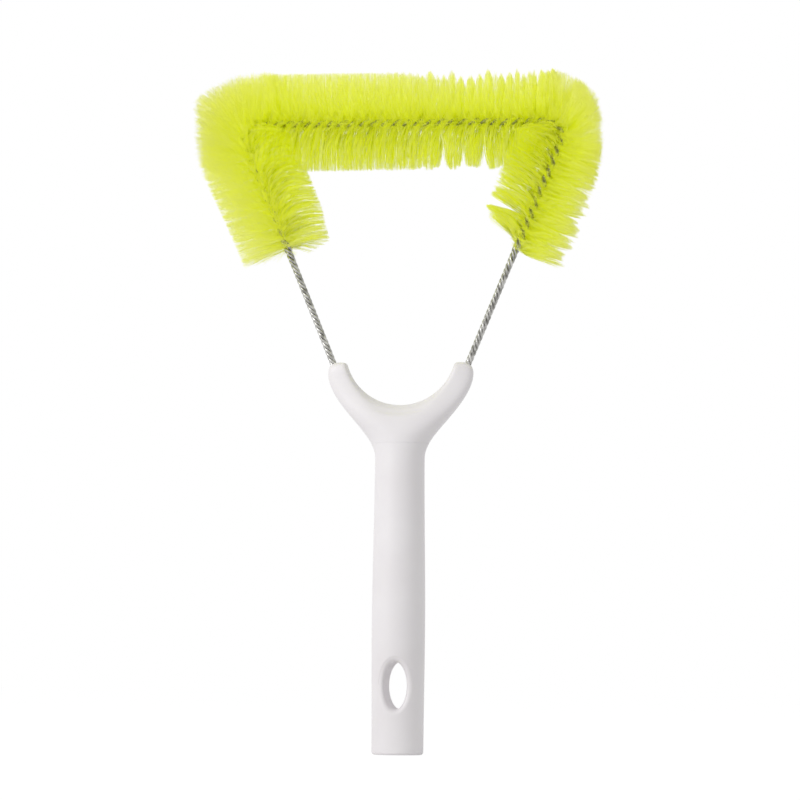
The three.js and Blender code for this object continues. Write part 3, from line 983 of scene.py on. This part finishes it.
def gather_tips(hair, lean):
    """Draws the tips on the outer right together to spikes, and parts a few clumps from each other."""
    zone = hair.zone
    at_tip = hair.root + hair.lay + lean
    spike = np.searchsorted(SPIKE_EDGES, at_tip)
    half_width = (SPIKE_EDGES[spike] - SPIKE_EDGES[spike - 1]) / 2
    from_middle = (at_tip - SPIKE_EDGES[spike]) / half_width + 1
    spiky = hair.outside * zone.right * (1 - CORNER_SPIKE_LOSS * zone.corner)
    spiky = spiky * mix(LEG_SPIKE_SHARE, 1.0, zone.top)
    shift = -spiky * from_middle * half_width * SPIKE_CLOSING
    sharpness = mix(INNER_SHARPNESS, OUTER_SHARPNESS, hair.outside)
    for place, side, gap, opening in PARTINGS:
        offset = hair.root + hair.lay - place
        near = np.exp(-np.abs(offset) / PARTING_REACH) * side_share(side * hair.inner)
        lean = lean * (1 - near)
        sharpness = mix(sharpness, opening, near)
        shift = shift * (1 - near) + np.sign(offset) * near * gap * PARTING_SHARE

    # Spikes differ in length, and so do the clumps on the inner right
    spike_habit = hair.row_habits[2, spike]
    unevenness = SPIKE_RAGGEDNESS * spike_habit ** SPIKE_RAGGED_POWER
    ragged = spiky * (unevenness + SPIKE_SLOPE * np.abs(from_middle))
    ragged += hair.inside * zone.right * INNER_RAGGEDNESS * spike_habit ** 2
    return SimpleNamespace(lean=lean, shift=shift, sharpness=sharpness, ragged=ragged)


def reaches(rng, hair, tips):
    """How long filaments are: evenly cut on the left, ragged on the right, fuller in the left corner."""
    zone = hair.zone
    wear = mix(LEFT_WEAR, RIGHT_WEAR, zone.right) + RIGHT_END_WEAR * zone.right_end
    worn = np.abs(rng.normal(0, 1, hair.count)) * wear
    left_leg = LEFT_LEG_FULLNESS * zone.left_leg_height * zone.left
    left = np.maximum(LEFT_CORNER_FULLNESS * zone.corner, left_leg)
    fullness = mix(left, RIGHT_LEG_FULLNESS * zone.right_leg_full, zone.right)
    fullness = np.maximum(fullness, zone.top * mix(TOP_LEFT_FULLNESS, TOP_RIGHT_FULLNESS, zone.right))
    reach = BRISTLE_RADIUS * (1 + fullness * smooth(*IN_PLANE_RANGE, -hair.inner))
    shortening = RIGHT_LEG_SHORTENING * zone.right_leg + RIGHT_END_SHORTENING * zone.right_end
    reach = reach * (1 - hair.inside * (shortening + LEFT_END_SHORTENING * zone.left_end))

    # The brush was trimmed to shape, but for some fray
    foot = hair.point + hair.along * (tips.lean + tips.shift + hair.lay)[:, None]
    fray = rng.normal(0, TRIM_FRAY, hair.count)
    for normal, limit in trim_planes():
        room = (limit + fray - foot @ normal) / np.maximum(hair.way @ normal, LEAST_SLANT)
        reach = np.minimum(reach, np.maximum(room, SHORTEST_TRIM * BRISTLE_RADIUS))
    return reach * (1 - tips.ragged - worn)


def filament_lines(hair, tips, reach):
    """Points along each filament, from the twisted core to its tip."""
    lines = []
    for stop in np.linspace(0, 1, FILAMENT_STOPS):
        turn = hair.helix + (hair.angle - hair.helix) * smooth(0.0, STRAIGHT_FROM, stop)
        away = hair.inward * np.cos(turn)[:, None] + BACK * np.sin(turn)[:, None]
        out = mix(ROOT_RADIUS, reach, stop)
        shift = tips.lean * stop ** LEAN_POWER + tips.shift * stop ** tips.sharpness
        slant = (hair.lay - hair.off_strand) * smooth(0, LAID_FROM, stop)
        shift += slant + hair.arch * 4 * stop * (1 - stop)
        lines.append(hair.point + away * out[:, None] + hair.along * shift[:, None])
    return np.stack(lines, 1)


def filament_tones(rng, hair):
    """Tones of each filament in its middle, with painted shade or highlight at its root, and how far
    painted light pales its tip.
    """
    zone, inside, outside = hair.zone, hair.inside, hair.outside
    near_corner = smooth(LEG_STRAIGHT - PAINTED_SHADE_LEG_START, LEG_STRAIGHT - PAINTED_SHADE_LEG_FULL, zone.from_end)
    past_corner = smooth(TOP_START + PAINTED_SHADE_TOP_FULL, TOP_START + PAINTED_SHADE_TOP_END, zone.from_end)
    shaded_right_inner_corner = near_corner * (1 - past_corner) * zone.right * inside
    shaded_right_leg_outside = zone.right * (1 - zone.top) * outside
    # Painted light on the outer sides of the corners and left leg, painted shade on the inner side and the
    # lower right
    painted_light = CORNER_PAINTED_LIGHT * zone.corner + LEFT_LEG_PAINTED_LIGHT * zone.left * (1 - zone.top)
    # Strands differ in tone at random; the wider spread on the inner side and in the right inner corner
    # also stands in for painted shade and light between strands
    contrast = mix(mix(STRAND_CONTRAST, INNER_CONTRAST, inside), TOP_CONTRAST, outside * zone.top)
    contrast = contrast + RIGHT_CORNER_CONTRAST * shaded_right_inner_corner
    tone = MIDDLE_TONE - INNER_PAINTED_SHADE * inside + outside * painted_light
    tone = tone - RIGHT_PAINTED_SHADE * (shaded_right_leg_outside + shaded_right_inner_corner)
    tone += ROW_CONTRAST * (hair.row_habits[1, hair.row] - 0.5) + contrast * hair.strand.tone
    tone = np.clip(tone + rng.normal(0, FILAMENT_CONTRAST, hair.count), LEAST_TONE, 1)
    # Some strands get painted shade at their roots and others painted highlights, for the shade and glints
    # among the filaments near the core
    dark = np.abs(hair.strand.turn) > PAINTED_SHADE_ROOTS_FROM - RIGHT_CORNER_PAINTED_SHADE_ROOTS * shaded_right_inner_corner
    bright = np.abs(hair.strand.turn) < PAINTED_HIGHLIGHT_ROOTS_TO
    painted_root_tone = np.where(dark, 0.0, np.where(bright, 1.0, tone))
    # Tips pale towards the lightest tone: painted light shining through them, less on the shaded inner side
    painted_tip_light = mix(INNER_PAINTED_TIP_LIGHT, mix(LEG_PAINTED_TIP_LIGHT, TOP_PAINTED_TIP_LIGHT, zone.top), outside)
    return tone, painted_root_tone, painted_tip_light


def make_bristles(name, seed, start, end):
    """One stretch of the brush, with more filaments in the bends, where they fan out."""
    rng = np.random.default_rng(seed)
    crowding = LEFT_BEND_CROWDING if start < MIDDLE else RIGHT_BEND_CROWDING
    count = int((end - start) * FILAMENTS_PER_METRE * crowding)
    root = start + (end - start) * (np.arange(count) + rng.uniform(0, 1, count)) / count
    crowded = in_bend(root + rng.normal(0, CROWDING_FADE, count))
    root = root[crowded | (rng.uniform(0, 1, count) < 1 / crowding)]
    hair = lay_out(rng, root)
    tips = gather_tips(hair, first_leans(rng, hair))
    lines = filament_lines(hair, tips, reaches(rng, hair, tips))
    tone, painted_root_tone, painted_tip_light = filament_tones(rng, hair)
    thickness = np.linspace(1.0, FILAMENT_TIP_SHARE, FILAMENT_STOPS) * FILAMENT_RADIUS
    bristles = tubes(name, lines, [thickness] * len(lines), FILAMENT_SIDES)

    # Along a filament the painted shade or highlight fades out from the root, and painted light pales the
    # tip
    def tone_at(stop, order):
        painted_root_share = np.clip(1 - stop / PAINTED_ROOT_REACH, 0, 1)
        lower = mix(tone[order, None], painted_root_tone[order, None], painted_root_share)
        return mix(lower, 1.0, painted_tip_light[order, None] * stop ** 2)

    # The mesh lists the end caps first, from the last filament to the first, and then the rings of each
    caps = tone_at(np.repeat([1.0, 0.0], FILAMENT_SIDES), slice(None, None, -1))
    rings = tone_at(np.repeat(np.linspace(0, 1, FILAMENT_STOPS), FILAMENT_SIDES), slice(None))
    tones = np.concatenate([caps.ravel(), rings.ravel()]).astype(np.float32)
    bristles.data.attributes.new("tone", "FLOAT", "POINT").data.foreach_set("value", tones)
    soften(bristles, math.pi)
    return bristles


def make_camera():
    """A camera that sees the brush at the photo's scale and angle."""
    lens = bpy.data.cameras.new("camera")
    lens.angle = 2 * math.atan(PHOTO_SIZE * MM_PER_PIXEL * MM / 2 / CAMERA_DISTANCE)
    lens.clip_start = CAMERA_NEAR
    camera = new_object("camera", lens)
    level = math.cos(CAMERA_ELEVATION)
    back = Vector((
        math.sin(CAMERA_AZIMUTH) * level,
        -math.cos(CAMERA_AZIMUTH) * level,
        math.sin(CAMERA_ELEVATION),
    ))
    camera.location = VIEW_CENTRE + back * CAMERA_DISTANCE
    facing = back.to_track_quat("Z", "Y")
    camera.rotation_euler = (facing.to_matrix() @ Matrix.Rotation(CAMERA_ROLL, 3, "Z")).to_euler()
    bpy.context.scene.camera = camera


def seen_directly(tree):
    """One for rays from the camera, from gloss and from glass, and zero for light that falls on things."""
    path = add_node(tree, "ShaderNodeLightPath")
    eye_or_gloss = {0: path.outputs["Is Camera Ray"], 1: path.outputs["Is Glossy Ray"]}
    some = add_node(tree, "ShaderNodeMath", eye_or_gloss, operation="MAXIMUM")
    some_or_glass = {0: some.outputs[0], 1: path.outputs["Is Transmission Ray"]}
    return add_node(tree, "ShaderNodeMath", some_or_glass, operation="MAXIMUM").outputs[0]


def white_paper():
    # Matt white paper: it keeps soft shadows, and is nearly as white as the background where it is seen
    material, tree = new_material("white_paper")
    paper = add_node(tree, "ShaderNodeBsdfDiffuse", {"Color": linear("#f4f4f4")})
    white = add_node(tree, "ShaderNodeEmission", {
        "Color": linear("#ffffff"), "Strength": FLOOR_WHITE_STRENGTH,
    })
    share = add_node(tree, "ShaderNodeMapRange", {
        "Value": seen_directly(tree), "To Min": 0.0, "To Max": FLOOR_WHITE_SHARE,
    })
    both = add_node(tree, "ShaderNodeMixShader", {
        0: share.outputs["Result"], 1: paper.outputs["BSDF"], 2: white.outputs["Emission"],
    })
    add_node(tree, "ShaderNodeOutputMaterial", {"Surface": both.outputs["Shader"]})
    return material


def make_floor():
    """A wide sheet of paper just below the grip's end."""
    bm = bmesh.new()
    bmesh.ops.create_grid(bm, x_segments=1, y_segments=1, size=FLOOR_HALF_SIZE)
    bmesh.ops.translate(bm, verts=bm.verts, vec=(0, 0, cad_low[2] - FLOOR_GAP))
    floor = from_bmesh("floor", bm)
    floor.data.materials.append(white_paper())


def make_world():
    """Even light from all round, which looks white where it is seen directly."""
    world = bpy.data.worlds.new("studio")
    bpy.context.scene.world = world
    world.use_nodes = True
    tree = world.node_tree
    tree.nodes.clear()
    strength = add_node(tree, "ShaderNodeMapRange", {
        "Value": seen_directly(tree), "To Min": SKY_STRENGTH, "To Max": 1.0,
    })
    light = add_node(tree, "ShaderNodeBackground", {
        "Color": linear("#ffffff"), "Strength": strength.outputs["Result"],
    })
    add_node(tree, "ShaderNodeOutputWorld", {"Surface": light.outputs["Background"]})


def make_softbox():
    """A round soft lamp at the upper left, in front of the brush."""
    lamp = bpy.data.lights.new("key_softbox", "AREA")
    lamp.shape = "DISK"
    lamp.size = SOFTBOX_SIZE
    lamp.energy = SOFTBOX_POWER
    softbox = new_object("key_softbox", lamp)
    softbox.location = SOFTBOX_PLACE
    softbox.rotation_euler = (SOFTBOX_PLACE - SOFTBOX_TARGET).to_track_quat("Z", "Y").to_euler()


def dress(piece, material, slot, *nodes):
    """Gives a piece its material, hangs it under the root body and hides the nodes of the frame it stands
    in for.
    """
    piece.data.materials.clear()
    piece.data.materials.append(material)
    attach(piece, "root")
    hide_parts(*nodes)


plastic = moulded_polypropylene()
zinc = galvanised_wire()
nylon = nylon_monofilament()
dress(make_grip(), plastic, "moulded_polypropylene", "grip")
dress(make_yoke(), plastic, "moulded_polypropylene", "yoke")
for number, (layer_side, across_side) in enumerate(PAIR_SIDES, 1):
    wire = make_wire(number, layer_side, across_side)
    dress(wire, zinc, "galvanised_wire", f"wire_strand_{number}")
seed = FIRST_BRISTLE_SEED
for label, start, end, parts in STRETCHES:
    edges = np.linspace(start, end, parts + 1)
    for number in range(parts):
        name = f"{label}_filaments_{number + 1}"
        bristles = make_bristles(name, seed, edges[number], edges[number + 1])
        dress(bristles, nylon, "nylon_filament", f"{label}_bristles")
        seed += 1

make_camera()
make_floor()
make_world()
make_softbox()
# Light passes through many filaments before it leaves the brush
bpy.context.scene.cycles.max_bounces = LIGHT_BOUNCES
bpy.context.scene.cycles.diffuse_bounces = LIGHT_BOUNCES
bpy.context.scene.view_settings.view_transform = "Standard"
